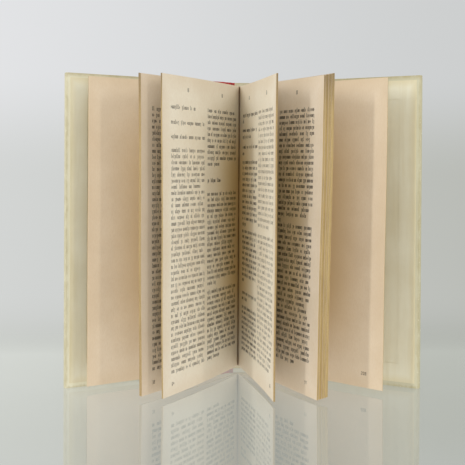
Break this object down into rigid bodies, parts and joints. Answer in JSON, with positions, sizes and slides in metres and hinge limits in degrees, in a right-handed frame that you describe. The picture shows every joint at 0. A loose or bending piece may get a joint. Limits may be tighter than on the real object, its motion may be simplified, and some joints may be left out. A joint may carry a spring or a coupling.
{
  "type": "open book",
  "caption": "Small case-bound book standing open on its tail, leaves fanned, both covers hinged at the spine joints.",
  "frame": {"origin": "middle of the base of the open book's box, on the surface it stands on", "axes": "+X to the right across the spread, +Y from the fore-edges back to the spine, +Z from tail to head"},
  "size_m": [0.2326, 0.13, 0.205],
  "materials": {
    "pages": "matt aged book paper, yellowed towards the edges",
    "lining": "open gauze set in glue",
    "board": "grey pulp board",
    "covering": "yellowed cream covering paper with a thin satin film",
    "endpaper": "smooth matt endpaper"
  },
  "bodies": {
    "leaves": {"text_block": "pages", "spine_lining": "lining", "spine_card": "board", "spine_covering": "covering"},
    "front_cover": {"front_board": "board", "front_covering": "covering", "front_pastedown": "endpaper"},
    "back_cover": {"back_board": "board", "back_covering": "covering", "back_pastedown": "endpaper"}
  },
  "joints": [
    {"name": "front_cover_hinge", "type": "hinge", "parent": "leaves", "child": "front_cover", "pos_m": [-0.00369, 0.06128, 0], "axis": [0, 0, -1], "range_deg": [-6, 65]},
    {"name": "back_cover_hinge", "type": "hinge", "parent": "leaves", "child": "back_cover", "pos_m": [0.01261, 0.06128, 0], "axis": [0, 0, 1], "range_deg": [-12, 72]}
  ]
}
